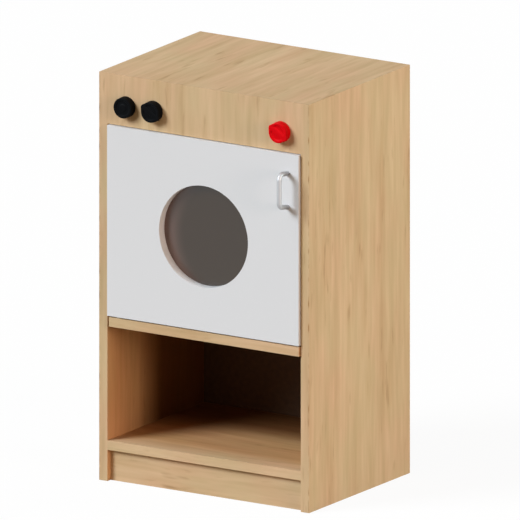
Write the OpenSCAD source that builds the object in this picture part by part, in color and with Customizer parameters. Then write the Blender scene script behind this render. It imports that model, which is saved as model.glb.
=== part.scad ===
// Play washing machine for a nursery: a laminated-board cabinet with an inset door, a round
// smoked window, three turning knobs and an open lower compartment.
// Lengths are in millimetres. The origin lies on the floor, under the middle of the whole
// object's box, the front faces -Y and the door is hinged at the left.

/* [Cabinet] */
// Overall width over both side panels
cabinet_w = 460; // [420:5:520]
// Depth of the side panels from front edge to rear edge
cabinet_d = 350; // [300:5:420]
// Height from the floor to the top face
cabinet_h = 782; // [740:2:860]
// Thickness of every laminated board
board = 18; // [16:0.5:19]

/* [Levels] */
// Height of the recessed plinth board
plinth_h = 60; // [50:1:80]
// How far the plinth stands behind the front edges
plinth_setback = 11; // [6:1:30]
// Clear height of the open lower compartment
open_h = 220; // [180:5:250]
// Height of the control fascia
fascia_h = 97; // [92:1:120]

/* [Middle shelf] */
// How far the shelf's nose stands in front of the side panels
nose_proud = 4.5; // [1:0.5:6]
// Depth of the notches beside the nose, behind the side panels' front edges
nose_notch = 8; // [4:1:16]
// Width of the nose's notch on the hinge side
nose_gap_hinge = 6; // [2:0.5:10]
// Width of the nose's notch on the latch side
nose_gap_latch = 1.5; // [1:0.5:6]

/* [Back panel] */
// Thickness of the hardboard back
back_t = 3; // [2.5:0.5:4]
// How far the back's rear face lies inside the rear edges
back_inset = 12; // [8:1:20]
// Depth of the grooves that hold the back
groove_depth = 7; // [5:0.5:9]

/* [Door] */
// Gap between door and left side panel
door_gap_hinge = 3; // [2.5:0.5:4]
// Gap between door and right side panel
door_gap_latch = 1; // [1:0.5:3]
// Gap between door and fascia
door_gap_top = 1.5; // [1.5:0.5:4]
// Gap between door and middle shelf
door_gap_bottom = 2.5; // [2:0.5:5]
// How far the door's face stands in front of the side panels
door_proud = 6; // [4:0.5:7]
// Diameter of the round window opening
window_d = 195; // [140:1:230]
// How far the window's centre lies beside the door's middle, towards the latch
window_shift = 1.5; // [-6:0.5:6]
// How far the window's centre lies below the door's middle
window_low = 2; // [0:1:10]
// Thickness of the smoked window pane
pane_t = 3; // [2:0.5:4]
// How far the pane reaches past the window opening
pane_lap = 16; // [12:1:24]
// Distance from the pane's edges to its screws
pane_screw_in = 10; // [8:1:14]

/* [Door pivots] */
// Diameter of the steel pivot pins
pivot_pin_d = 6; // [5:0.5:6]
// Distance of the pivot axis behind the side panels' front edges
pivot_setback = 5; // [4:0.5:6]
// Outer diameter of the pivot bushes in the door
pivot_bush_d = 10; // [9:0.5:11]
// Length of the pivot bushes
pivot_bush_l = 14; // [12:1:20]
// How deep each pin sits in the shelf or in the fascia
pivot_hold = 13; // [10:1:14]
// Least gap between the swinging door's corner and the side panel
swing_clearance = 0.4; // [0.3:0.1:0.8]

/* [Handle] */
// Distance between the handle's two screws
handle_spacing = 64; // [48:8:128]
// Diameter of the handle's rod
handle_rod = 9; // [7:0.5:11]
// Height of the handle over the door's face
handle_reach = 34; // [28:1:42]
// How far the bar stands above the middle of its two screws
handle_rise = 4.5; // [0:0.5:6]
// Bend radius on the rod's centre line
handle_bend = 11; // [8:0.5:14]
// Distance from the door's latch edge to the handle
handle_edge = 24; // [18:1:60]
// Distance from the door's top edge to the handle's middle
handle_drop = 69; // [50:1:180]

/* [Knobs] */
// Diameter of the knobs' round body
knob_d = 40; // [32:1:42]
// Height of the knobs over the fascia
knob_h = 15.5; // [12:0.5:20]
// Distance of the knobs' centres below the top face
knob_drop = 59; // [45:1:60]
// Distance of the outer knobs from the cabinet's sides
knob_edge = 60; // [56:1:80]
// Distance between the two knobs at the left
knob_pitch = 60; // [52:1:90]
// Length of the grip bar over its two noses
grip_l = 47; // [44:0.5:50]
// Width of the grip bar
grip_w = 10; // [8:0.5:14]
// Tilt of the grip bars at rest
grip_tilt = 25; // [0:1:180]
// Diameter of the knobs' spindles
spindle_d = 6; // [5:0.5:7]
// Wall of the spindle bushes
bush_wall = 2; // [1.5:0.5:3]

/* [Fittings] */
// Diameter of the wooden dowels
dowel_d = 8; // [6:1:8]
// Length of the wooden dowels
dowel_l = 30; // [26:1:36]
// How deep a dowel sits in a side panel or in the fascia's back
dowel_in_side = 11; // [9:1:12]
// Diameter of the cam housings
cam_d = 15; // [12:1:15]
// Distance of a cam housing from its board's end
cam_reach = 34; // [28:1:36]
// Distance of the front fittings from the front edges
fitting_front = 55; // [45:1:80]
// Distance of the rear fittings from the rear edges
fitting_rear = 60; // [45:1:90]
// Distance between a cam fitting and its dowel
fitting_pitch = 32; // [24:1:48]

/* [Magnetic catch] */
// Width of the catch housing over the side panel
catch_w = 14; // [12:0.5:18]
// Depth of the magnet's holder
catch_holder = 11; // [9:0.5:14]
// Length of the catch
catch_l = 46; // [40:1:56]
// Depth of the screwed flange behind the holder
catch_flange = 15; // [12:1:20]
// Thickness of the steel strike plate on the door
strike_t = 1.2; // [1.2:0.1:1.6]
// Distance of the catch's middle below the door's top edge
catch_drop = 58; // [40:1:150]

/* [Fits] */
// Radial clearance of turning shafts
running_fit = 0.05; // [0.03:0.01:0.1]
// Radial clearance of dowels, screws and pressed pieces
seat_fit = 0.05; // [0.03:0.01:0.1]
// Face clearance between turning pieces and their seats
face_fit = 0.2; // [0.1:0.05:0.3]

/* [Hidden] */
$fn = 64;
oak = "#caac83";
white = "#d8d8d9";
hardboard = "#b79a73";
beech = "#d9bb8c";
smoked = [0.33, 0.31, 0.29, 0.6];
steel = "#b4b6b9";
nylon = "#e6e2d6";
pale_plastic = "#d8d2c4";
ferrite = "#3a3a3c";
black = "#121416";
red = "#d2000f";
cut = 1; // how far a cut runs past the face that it opens
end_room = 0.5; // room past the end of a dowel, pin, bolt or screw in its hole

// The whole object's box runs from the handle's bar to the rear edges
front_y = (door_proud + handle_reach - cabinet_d) / 2;

// Faces of the cabinet, with Y counted from the side panels' front edges
inner_w = cabinet_w - 2 * board;
inner_x = inner_w / 2;
bottom_top = plinth_h + board;
shelf_z = bottom_top + open_h;
shelf_top = shelf_z + board;
fascia_z = cabinet_h - fascia_h;
top_z = cabinet_h - board;
back_rear_y = cabinet_d - back_inset;
back_front_y = back_rear_y - back_t;
groove_slack = 0.1; // room of the back panel in its grooves, on each face
groove_end_room = 1; // room between the back panel's edges and the grooves' floors

// Door
door_x0 = -inner_x + door_gap_hinge;
door_x1 = inner_x - door_gap_latch;
door_z0 = shelf_top + door_gap_bottom;
door_z1 = fascia_z - door_gap_top;
door_back_y = board - door_proud;
window_x = (door_x0 + door_x1) / 2 + window_shift;
window_z = (door_z0 + door_z1) / 2 - window_low;
pane_side = window_d + 2 * pane_lap;
pane_corner = 12; // radius, so that no sharp corner meets a hand
pane_screw = pane_side / 2 - pane_screw_in;
pane_screw_d = 3;
pane_screw_grip = 10; // how deep the pane's screws go into the door
pane_screw_l = pane_t + pane_screw_grip;

// The pivot stands as far from the door's edge as its front corner needs to swing clear
pivot_depth = pivot_setback + door_proud;
swing_room = door_gap_hinge - swing_clearance;
pivot_edge = ceil((pivot_depth * pivot_depth - swing_room * swing_room) / (2 * swing_room));
pivot_x = door_x0 + pivot_edge;
pin_in_bush = pivot_bush_l - 2; // the pins stop short of the bushes' far ends
bush_hole_d = pivot_bush_d + 2 * seat_fit;
washer_wide = 8; // what a washer adds to its pin's diameter

// Handle
handle_x = door_x1 - handle_edge;
handle_z = door_z1 - handle_drop;
handle_axis = handle_reach - handle_rod / 2; // height of the bar's centre line over the door
leg_shoulder = 0.1;
leg_lap = 0.5;
handle_screw_d = 4;
handle_grip_in = 8; // how deep the screws go into the handle
handle_grip_mid = handle_grip_in / 2; // where the legs' centre lines cross the screws
handle_lean = atan(handle_rise / (handle_axis - handle_grip_mid)); // slope of the rising legs
handle_head_d = 8;
handle_head_h = 2.8;

// Screws
screw_room = 0.25; // radial room of a screw in a clearance hole
pan_head_d = 7;
pan_head_h = 2.2;
head_crown = 0.72; // width of a pan head's top face over its seat
slot_span = 0.55; // length of a cross slot over its head
slot_sink = 0.6; // depth of a cross slot over its head's height
slot_slim = 5; // length of a cross slot over its width

// Knobs
knob_z = cabinet_h - knob_drop;
knob_left_x = -cabinet_w / 2 + knob_edge;
knob_middle_x = knob_left_x + knob_pitch;
knob_right_x = cabinet_w / 2 - knob_edge;
knob_taper = 0.5; // how much narrower the face's radius is than the base's
knob_bevel = 1.5;
nose_blunt = 0.5; // how much is rounded off each nose's sharp tip
nose_sink = 1; // the noses' flanks run into the rim, towards a circle this much smaller
dish_rim = 3; // width of the rim round the dished face
dish_depth = 2;
dish_slope = 1; // how much narrower the dish's floor is than its mouth, in radius
dish_boss_d = 16; // diameter of the boss in the plain knob's dish
dish_boss_sink = 1; // how far the boss stays below the rim
knob_lift = 0.5; // gap between the knob's base and the fascia
socket_roof = 3; // least wall over the spindle's end
socket_depth = knob_h - dish_depth - socket_roof;
bush_d = spindle_d + 2 * bush_wall;
bush_flange_w = 3;
bush_flange_t = 1.5;
washer_t = 1;
washer_d = 2 * spindle_d;
nut_corner_d = spindle_d * 1.65 / cos(30); // a hexagon nut is 1.65 threads wide over its flats
nut_t = spindle_d * 0.8;
spindle_tail = 2; // thread that shows behind the nut
washer_y = board + bush_flange_t + face_fit;
nut_y = washer_y + washer_t;

// Fittings
dowel_hole_d = dowel_d + 2 * seat_fit;
dowel_in_board = dowel_l - dowel_in_side;
cam_level = board / 2; // height of the bolts' axis in a board
cam_h = cam_level + 4.5;
cam_slot_depth = 2;
cam_slot_w = cam_d * 0.5;
cam_room = 0.5; // room round a bolt inside its cam housing
bolt_thread_d = 7;
bolt_thread_l = 10;
bolt_shank_d = 5;
bolt_head_d = 6.6;
bolt_head_l = 4;
bolt_hole_d = 8;
cam_y_front = fitting_front;
cam_y_rear = cabinet_d - fitting_rear;
fitting_y_cams = [cam_y_front, cam_y_rear];
fitting_y_dowels = [cam_y_front + fitting_pitch, cam_y_rear - fitting_pitch];
board_levels = [plinth_h, shelf_z, top_z];
fascia_dowel_in = 22; // distance of the fascia's end dowels from its edges
fascia_dowel_z = [fascia_z + fascia_dowel_in, cabinet_h - fascia_dowel_in];
plinth_dowel_in = 18; // distance of the plinth's dowels from its edges
plinth_dowel_z = [plinth_dowel_in, plinth_h - plinth_dowel_in];
top_dowel_x = inner_w / 4;
back_screw_in = 42.5; // distance of the back's outer screws from the side panels
back_screw_x = inner_x - back_screw_in;
back_screw_d = 3;
back_screw_l = 16;

// Catch
catch_z = door_z1 - catch_drop;
catch_y = door_back_y + strike_t + face_fit;
flange_t = 2.5;
catch_screw_d = 3.5;
catch_screw_in_board = 12;
catch_screw_l = flange_t + catch_screw_in_board;
catch_screw_z = catch_l / 2 - 9;
catch_screw_y = catch_y + catch_holder + catch_flange / 2;
catch_side_wall = 2.5;
catch_end_wall = 7;
catch_rear_wall = 2;
pole_t = 1.2;
pole_proud = 0.5; // how far the pole plates stand in front of the magnet
magnet_slack = 0.1;
magnet_w = catch_w - 2 * (catch_side_wall + pole_t + magnet_slack);
magnet_l = catch_l - 2 * catch_end_wall;
magnet_d = catch_holder - catch_rear_wall;
strike_edge = 0.5; // distance of the strike plate from the door's edge
strike_x = inner_x - catch_w / 2;
strike_w = 2 * (door_x1 - strike_edge - strike_x);
strike_l = catch_l - 8;
strike_screw_d = 3;
strike_screw_l = 11;
strike_head_d = 5.6;
strike_head_h = 1.1;
strike_sink_d = strike_head_d + 0.8;

// Puts a shape that is drawn from the front edges into the object's own frame
module place() {
    translate([0, front_y, 0]) children();
}

// A cylinder along X from x, growing towards positive X
module rod_x(d, x, length) {
    translate([x, 0, 0]) rotate([0, 90, 0]) cylinder(d = d, h = length);
}

// A cylinder along Y from y, growing towards positive Y
module rod_y(d, y, length) {
    translate([0, y, 0]) rotate([-90, 0, 0]) cylinder(d = d, h = length);
}

// A box given by its two corners
module block(low, high) {
    translate(low) cube(high - low);
}

// Cross slots for a screwdriver, cut down from z = 0
module cross_slot(width, depth) {
    slot = width / slot_slim;
    for (turn = [0, 90]) {
        rotate([0, 0, turn]) translate([-width / 2, -slot / 2, -depth]) cube([width, slot, depth + cut]);
    }
}

// A pan-head screw that points down, with its head's seat at z = 0
module pan_screw(d, length, head_d, head_h) {
    difference() {
        union() {
            translate([0, 0, -length]) cylinder(d = d, h = length);
            cylinder(d1 = head_d, d2 = head_d * head_crown, h = head_h);
        }
        translate([0, 0, head_h]) cross_slot(head_d * slot_span, head_h * slot_sink);
    }
}

// A flat-head screw that points down, with its head's face at z = 0
module flat_screw(d, length, head_d, head_h) {
    difference() {
        union() {
            translate([0, 0, -length]) cylinder(d = d, h = length - head_h / 2);
            translate([0, 0, -head_h]) cylinder(d1 = d, d2 = head_d, h = head_h);
        }
        cross_slot(head_d * slot_span, head_h * slot_sink);
    }
}

// What repeats at both ends of a level board whose underside is at z: the cams and dowels
module at_cams(z) {
    for (side = [-1, 1]) {
        for (y = fitting_y_cams) {
            translate([side * inner_x, y, z + cam_level]) mirror([side < 0 ? 1 : 0, 0, 0]) children();
        }
    }
}

module at_level_dowels(z) {
    for (side = [-1, 1]) {
        for (y = fitting_y_dowels) {
            translate([side * inner_x, y, z + board / 2]) mirror([side < 0 ? 1 : 0, 0, 0]) children();
        }
    }
}

module at_fascia_dowels() {
    for (side = [-1, 1]) {
        for (z = fascia_dowel_z) {
            translate([side * inner_x, board / 2, z]) mirror([side < 0 ? 1 : 0, 0, 0]) children();
        }
    }
}

module at_plinth_dowels() {
    for (side = [-1, 1]) {
        for (z = plinth_dowel_z) {
            translate([side * inner_x, plinth_setback + board / 2, z])
                mirror([side < 0 ? 1 : 0, 0, 0]) children();
        }
    }
}

// A dowel across the joint at x = 0, with the side panel on the positive side
module dowel() {
    rod_x(dowel_d, -dowel_in_board, dowel_l);
}

module dowel_hole() {
    rod_x(dowel_hole_d, -dowel_in_board - end_room, dowel_l + 2 * end_room);
}

module cam_bolt() {
    rod_x(bolt_thread_d, 0, bolt_thread_l);
    rod_x(bolt_shank_d, -cam_reach + bolt_head_l / 2, cam_reach);
    rod_x(bolt_head_d, -cam_reach - bolt_head_l / 2, bolt_head_l);
}

// The housing stands in the board's underside, with its slot facing down
module cam_housing() {
    difference() {
        translate([-cam_reach, 0, -cam_level]) cylinder(d = cam_d, h = cam_h);
        rod_x(bolt_shank_d + 2 * cam_room, -cam_reach, cam_reach);
        rod_x(bolt_head_d + cam_room, -cam_reach - bolt_head_l / 2 - cam_room, bolt_head_l + 2 * cam_room);
        translate([-cam_reach, 0, -cam_level]) rotate([180, 0, 0]) cross_slot(cam_slot_w, cam_slot_depth);
    }
}

module board_end_holes(z) {
    at_level_dowels(z) dowel_hole();
    at_cams(z) {
        rod_x(bolt_hole_d, -cam_reach, cam_reach + cut);
        translate([-cam_reach, 0, -cam_level - cut])
            cylinder(d = cam_d + 2 * seat_fit, h = cam_h + cut + end_room);
    }
}

// Screw places on the flange of the catch and in the side panel
module at_catch_screws() {
    for (up = [-1, 1]) {
        translate([inner_x, catch_screw_y, catch_z + up * catch_screw_z]) children();
    }
}

module side_panel(side) {
    difference() {
        mirror([side < 0 ? 1 : 0, 0, 0]) block([inner_x, 0, 0], [cabinet_w / 2, cabinet_d, cabinet_h]);
        mirror([side < 0 ? 1 : 0, 0, 0])
            translate([inner_x - cut, back_front_y - groove_slack, plinth_h])
                cube([groove_depth + cut, back_t + 2 * groove_slack, top_z + groove_depth - plinth_h]);
        for (z = board_levels) {
            at_level_dowels(z) dowel_hole();
            at_cams(z) rod_x(bolt_thread_d + 2 * seat_fit, -cut, bolt_thread_l + end_room + cut);
        }
        at_fascia_dowels() dowel_hole();
        at_plinth_dowels() dowel_hole();
        if (side > 0) {
            at_catch_screws()
                rod_x(catch_screw_d + 2 * seat_fit, -cut, catch_screw_in_board + cut + end_room);
        }
    }
}

module side_panel_left() {
    color(oak) place() side_panel(-1);
}

module side_panel_right() {
    color(oak) place() side_panel(1);
}

// Dowels that stand in the top panel's front edge and the fascia's back
module at_top_dowels() {
    for (side = [-1, 1]) {
        translate([side * top_dowel_x, board, cabinet_h - board / 2]) rotate([0, 0, -90]) children();
    }
}

module top_panel() {
    color(oak) place() difference() {
        block([-inner_x, board, top_z], [inner_x, cabinet_d, cabinet_h]);
        translate([-inner_x - cut, back_front_y - groove_slack, top_z - cut])
            cube([inner_w + 2 * cut, back_t + 2 * groove_slack, groove_depth + cut]);
        board_end_holes(top_z);
        at_top_dowels() dowel_hole();
    }
}

module fascia_panel() {
    color(oak) place() difference() {
        block([-inner_x, 0, fascia_z], [inner_x, board, cabinet_h]);
        for (x = [knob_left_x, knob_middle_x, knob_right_x]) {
            translate([x, 0, knob_z]) rod_y(bush_d + 2 * seat_fit, -cut, board + 2 * cut);
        }
        translate([pivot_x, pivot_setback, fascia_z - cut])
            cylinder(d = pivot_pin_d + 2 * seat_fit, h = pivot_hold + end_room + cut);
        at_fascia_dowels() dowel_hole();
        at_top_dowels() dowel_hole();
    }
}

// Screws that hold the back panel to the rear edge of a level board
module at_back_screws() {
    for (z = [plinth_h, shelf_z]) {
        for (x = [-back_screw_x, 0, back_screw_x]) {
            translate([x, back_rear_y, z + board / 2]) rotate([-90, 0, 0]) children();
        }
    }
}

module back_screw_pilot() {
    translate([0, 0, -back_screw_l - end_room])
        cylinder(d = back_screw_d + 2 * seat_fit, h = back_screw_l + end_room + cut);
}

module middle_shelf() {
    color(oak) place() difference() {
        block([-inner_x, -nose_proud, shelf_z], [inner_x, back_front_y, shelf_top]);
        block([-inner_x - cut, -nose_proud - cut, shelf_z - cut],
              [-inner_x + nose_gap_hinge, nose_notch, shelf_top + cut]);
        block([inner_x - nose_gap_latch, -nose_proud - cut, shelf_z - cut],
              [inner_x + cut, nose_notch, shelf_top + cut]);
        board_end_holes(shelf_z);
        translate([pivot_x, pivot_setback, shelf_top - pivot_hold - end_room])
            cylinder(d = pivot_pin_d + 2 * seat_fit, h = pivot_hold + end_room + cut);
        at_back_screws() back_screw_pilot();
    }
}

module bottom_panel() {
    color(oak) place() difference() {
        block([-inner_x, 0, plinth_h], [inner_x, back_front_y, bottom_top]);
        board_end_holes(plinth_h);
        at_back_screws() back_screw_pilot();
    }
}

module plinth_board() {
    color(oak) place() difference() {
        block([-inner_x, plinth_setback, 0], [inner_x, plinth_setback + board, plinth_h]);
        at_plinth_dowels() dowel_hole();
    }
}

module back_panel() {
    reach = groove_depth - groove_end_room;
    color(hardboard) place() difference() {
        block([-inner_x - reach, back_front_y, plinth_h], [inner_x + reach, back_rear_y, top_z + reach]);
        at_back_screws() translate([0, 0, -back_t - cut])
            cylinder(d = back_screw_d + 2 * screw_room, h = back_t + 2 * cut);
    }
}

module back_panel_screws() {
    color(steel) place() at_back_screws() pan_screw(back_screw_d, back_screw_l, pan_head_d, pan_head_h);
}

module shelf_dowels() {
    color(beech) place() for (z = board_levels) at_level_dowels(z) dowel();
}

module fascia_dowels() {
    color(beech) place() {
        at_fascia_dowels() dowel();
        at_top_dowels() dowel();
    }
}

module plinth_dowels() {
    color(beech) place() at_plinth_dowels() dowel();
}

module cam_bolts() {
    color(steel) place() for (z = board_levels) at_cams(z) cam_bolt();
}

module cam_housings() {
    color(steel) place() for (z = board_levels) at_cams(z) cam_housing();
}

// The lower pin stands in the shelf and the upper pin hangs from the fascia
module pivot_pin_lower() {
    color(steel) place() translate([pivot_x, pivot_setback, shelf_top - pivot_hold])
        cylinder(d = pivot_pin_d, h = pivot_hold + door_gap_bottom + pin_in_bush);
}

module pivot_pin_upper() {
    color(steel) place() translate([pivot_x, pivot_setback, door_z1 - pin_in_bush])
        cylinder(d = pivot_pin_d, h = pin_in_bush + door_gap_top + pivot_hold);
}

module pivot_washer() {
    color(nylon) place() translate([pivot_x, pivot_setback, shelf_top]) difference() {
        cylinder(d = pivot_pin_d + washer_wide, h = door_gap_bottom - face_fit);
        translate([0, 0, -cut]) cylinder(d = pivot_pin_d + 2 * seat_fit, h = door_gap_bottom + 2 * cut);
    }
}

module pivot_bush() {
    difference() {
        cylinder(d = pivot_bush_d, h = pivot_bush_l);
        translate([0, 0, -cut]) cylinder(d = pivot_pin_d + 2 * running_fit, h = pivot_bush_l + 2 * cut);
    }
}

module pivot_bush_lower() {
    color(nylon) place() translate([pivot_x, pivot_setback, door_z0]) pivot_bush();
}

module pivot_bush_upper() {
    color(nylon) place() translate([pivot_x, pivot_setback, door_z1 - pivot_bush_l]) pivot_bush();
}

module at_pane_screws() {
    for (sx = [-1, 1], sz = [-1, 1]) {
        translate([window_x + sx * pane_screw, door_back_y + pane_t, window_z + sz * pane_screw])
            rotate([-90, 0, 0]) children();
    }
}

module at_handle_screws() {
    for (up = [-1, 1]) {
        translate([handle_x, door_back_y, handle_z + up * handle_spacing / 2])
            rotate([-90, 0, 0]) children();
    }
}

module door_panel() {
    color(white) place() difference() {
        block([door_x0, -door_proud, door_z0], [door_x1, door_back_y, door_z1]);
        translate([window_x, 0, window_z]) rotate([-90, 0, 0])
            translate([0, 0, -door_proud - cut]) cylinder(d = window_d, h = board + 2 * cut, $fn = 128);
        at_pane_screws() translate([0, 0, -pane_screw_l - end_room])
            cylinder(d = pane_screw_d + 2 * seat_fit, h = pane_screw_l + end_room);
        at_handle_screws() translate([0, 0, -board - cut])
            cylinder(d = handle_screw_d + 2 * screw_room, h = board + 2 * cut);
        for (z = [door_z0 - cut, door_z1 - pivot_bush_l - end_room]) {
            translate([pivot_x, pivot_setback, z])
                cylinder(d = bush_hole_d, h = pivot_bush_l + end_room + cut);
        }
        translate([strike_x, door_back_y, catch_z])
            rod_y(strike_screw_d + 2 * seat_fit, -strike_screw_l, strike_screw_l + cut);
    }
}

module window_pane() {
    half = pane_side / 2 - pane_corner;
    color(smoked) place() difference() {
        translate([window_x, door_back_y, window_z]) rotate([-90, 0, 0]) linear_extrude(pane_t) {
            square([pane_side, 2 * half], center = true);
            square([2 * half, pane_side], center = true);
            for (sx = [-1, 1], sy = [-1, 1]) translate([sx * half, sy * half]) circle(r = pane_corner);
        }
        at_pane_screws() translate([0, 0, -pane_t - cut])
            cylinder(d = pane_screw_d + 2 * screw_room, h = pane_t + 2 * cut);
    }
}

module window_screws() {
    color(steel) place() at_pane_screws() pan_screw(pane_screw_d, pane_screw_l, pan_head_d, pan_head_h);
}

// Rounded to a thousandth, so that the bends and the bar between them meet exactly
function thousandth(length) = round(length * 1000) / 1000;

// Where a leg that leans by so much meets the bar's line, over the screws' middle
function handle_corner(lean) =
    thousandth(handle_spacing / 2 + (handle_axis - handle_grip_mid) * tan(lean));

// How far a bend begins before that corner
function bend_start(lean) = thousandth(handle_bend * tan((90 + lean) / 2));

// A leg and its bend, with the corner of their centre lines at the origin. The leg is a shade
// thicker than the bend and laps over its end.
module handle_leg(lean) {
    start = bend_start(lean);
    translate([0, handle_bend, -start]) rotate([90, 0, -90])
        rotate_extrude(angle = 90 + lean) translate([handle_bend, 0]) circle(d = handle_rod);
    rotate([-lean, 0, 0]) translate([0, start - leg_lap, 0])
        rod_y(handle_rod + 2 * leg_shoulder, 0, handle_axis / cos(lean) - start + handle_rod);
}

// One bent rod: two legs that rise a little towards the bar, two bends and the bar between them
module door_handle() {
    bar_top = handle_corner(handle_lean) - bend_start(handle_lean);
    bar_bottom = handle_corner(-handle_lean) - bend_start(-handle_lean);
    color(steel) place() translate([handle_x, -door_proud, handle_z]) difference() {
        union() {
            for (up = [-1, 1]) mirror([0, 0, up < 0 ? 1 : 0])
                translate([0, -handle_axis, handle_corner(up * handle_lean)]) handle_leg(up * handle_lean);
            translate([0, -handle_axis, -bar_bottom]) cylinder(d = handle_rod, h = bar_top + bar_bottom);
        }
        block([-handle_rod, 0, -handle_spacing], [handle_rod, 2 * handle_rod, handle_spacing]);
        for (up = [-1, 1]) translate([0, -handle_grip_in - end_room, up * handle_spacing / 2])
            rod_y(handle_screw_d + 2 * seat_fit, 0, handle_grip_in + end_room + cut);
    }
}

module handle_screws() {
    color(steel) place() at_handle_screws()
        pan_screw(handle_screw_d, board + handle_grip_in, handle_head_d, handle_head_h);
}

module strike_plate() {
    color(steel) place() difference() {
        block([strike_x - strike_w / 2, door_back_y, catch_z - strike_l / 2],
              [strike_x + strike_w / 2, door_back_y + strike_t, catch_z + strike_l / 2]);
        translate([strike_x, 0, catch_z]) {
            rod_y(strike_screw_d + 2 * screw_room, door_back_y - cut, strike_t + 2 * cut);
        }
        translate([strike_x, door_back_y + strike_t, catch_z]) rotate([-90, 0, 0])
            translate([0, 0, -strike_head_h])
                cylinder(d1 = strike_screw_d + 2 * screw_room, d2 = strike_sink_d, h = strike_head_h);
    }
}

module strike_screw() {
    color(steel) place() translate([strike_x, door_back_y + strike_t, catch_z]) rotate([-90, 0, 0])
        flat_screw(strike_screw_d, strike_screw_l, strike_head_d, strike_head_h);
}

// The catch holds a magnet between two steel plates and is screwed to the side panel
module catch_housing() {
    color(pale_plastic) place() difference() {
        union() {
            block([inner_x - catch_w, catch_y, catch_z - catch_l / 2],
                  [inner_x, catch_y + catch_holder, catch_z + catch_l / 2]);
            block([inner_x - flange_t, catch_y, catch_z - catch_l / 2],
                  [inner_x, catch_y + catch_holder + catch_flange, catch_z + catch_l / 2]);
        }
        translate([strike_x, catch_y, catch_z])
            translate([-magnet_w / 2 - pole_t - magnet_slack, -cut, -magnet_l / 2 - magnet_slack])
                cube([magnet_w + 2 * (pole_t + magnet_slack), magnet_d + cut, magnet_l + 2 * magnet_slack]);
        at_catch_screws() rod_x(catch_screw_d + 2 * screw_room, -flange_t - cut, flange_t + 2 * cut);
    }
}

module catch_magnet() {
    color(ferrite) place()
        translate([strike_x - magnet_w / 2, catch_y + pole_proud, catch_z - magnet_l / 2])
            cube([magnet_w, magnet_d - pole_proud, magnet_l]);
}

module catch_pole_plates() {
    color(steel) place() for (side = [-1, 1]) {
        translate([strike_x + side * (magnet_w + pole_t) / 2 - pole_t / 2, catch_y, catch_z - magnet_l / 2])
            cube([pole_t, magnet_d, magnet_l]);
    }
}

module catch_screws() {
    color(steel) place() at_catch_screws() translate([-flange_t, 0, 0]) rotate([0, -90, 0])
        pan_screw(catch_screw_d, catch_screw_l, pan_head_d, pan_head_h);
}

// Knobs are drawn with their axis up and their base at z = 0, then turned to face the front
module at_knob(x) {
    translate([x, 0, knob_z]) rotate([90, 0, 0]) children();
}

module knob_body(base_r) {
    rotate_extrude($fn = 96) polygon([
        [0, knob_lift], [base_r, knob_lift],
        [base_r - knob_taper, knob_h - knob_bevel],
        [base_r - knob_taper - knob_bevel, knob_h],
        [0, knob_h]]);
}

module knob_dish() {
    mouth_r = knob_d / 2 - knob_taper - knob_bevel - dish_rim;
    opened_r = mouth_r + cut * dish_slope / dish_depth;
    translate([0, 0, knob_h - dish_depth])
        cylinder(r1 = mouth_r - dish_slope, r2 = opened_r, h = dish_depth + cut, $fn = 96);
}

module knob_socket() {
    cylinder(d = spindle_d + 2 * seat_fit, h = knob_lift + socket_depth);
}

// The plain knob has a dished face with a low round boss in its middle
module round_knob() {
    difference() {
        knob_body(knob_d / 2);
        difference() {
            knob_dish();
            cylinder(d = dish_boss_d, h = knob_h - dish_boss_sink, $fn = 96);
        }
        knob_socket();
    }
}

// Half of the grip bar, with the blunt nose that runs from the rim out to its tip
module grip_half() {
    apex = grip_l / 2 + nose_blunt;
    side = grip_w / 2;
    flank_r = knob_d / 2 - nose_sink;
    spread = acos(flank_r / apex); // how far round from the bar the flanks touch that circle
    rim_x = flank_r * cos(spread);
    rim_y = flank_r * sin(spread);
    linear_extrude(knob_h - knob_lift)
        polygon([[0, -side], [rim_x, -side], [rim_x, -rim_y], [apex, 0],
                 [rim_x, rim_y], [rim_x, side], [0, side]]);
}

// The other knobs carry a grip bar across the dish, which ends in a blunt nose at either side
module grip_knob() {
    difference() {
        union() {
            difference() {
                knob_body(knob_d / 2);
                knob_dish();
            }
            intersection() {
                translate([0, 0, knob_lift])
                    for (turn = [0, 180]) rotate([0, 0, turn - grip_tilt]) grip_half();
                knob_body(grip_l / 2);
            }
        }
        knob_socket();
    }
}

module knob_left() {
    color(black) place() at_knob(knob_left_x) round_knob();
}

module knob_middle() {
    color(black) place() at_knob(knob_middle_x) grip_knob();
}

module knob_right() {
    color(red) place() at_knob(knob_right_x) grip_knob();
}

// The bush is pressed in from behind and its flange bears on the fascia's back
module spindle_bush(x) {
    color(nylon) place() translate([x, 0, knob_z]) difference() {
        union() {
            rod_y(bush_d, 0, board);
            rod_y(bush_d + 2 * bush_flange_w, board, bush_flange_t);
        }
        rod_y(spindle_d + 2 * running_fit, -cut, board + bush_flange_t + 2 * cut);
    }
}

module spindle(x) {
    color(steel) place() translate([x, 0, knob_z])
        rod_y(spindle_d, -socket_depth, socket_depth + nut_y + nut_t + spindle_tail);
}

module spindle_washer(x) {
    color(steel) place() translate([x, 0, knob_z]) difference() {
        rod_y(washer_d, washer_y, washer_t);
        rod_y(spindle_d + 2 * seat_fit, washer_y - cut, washer_t + 2 * cut);
    }
}

module spindle_nut(x) {
    color(steel) place() translate([x, 0, knob_z]) difference() {
        translate([0, nut_y, 0]) rotate([-90, 0, 0]) cylinder(d = nut_corner_d, h = nut_t, $fn = 6);
        rod_y(spindle_d + 2 * seat_fit, nut_y - cut, nut_t + 2 * cut);
    }
}

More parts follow.
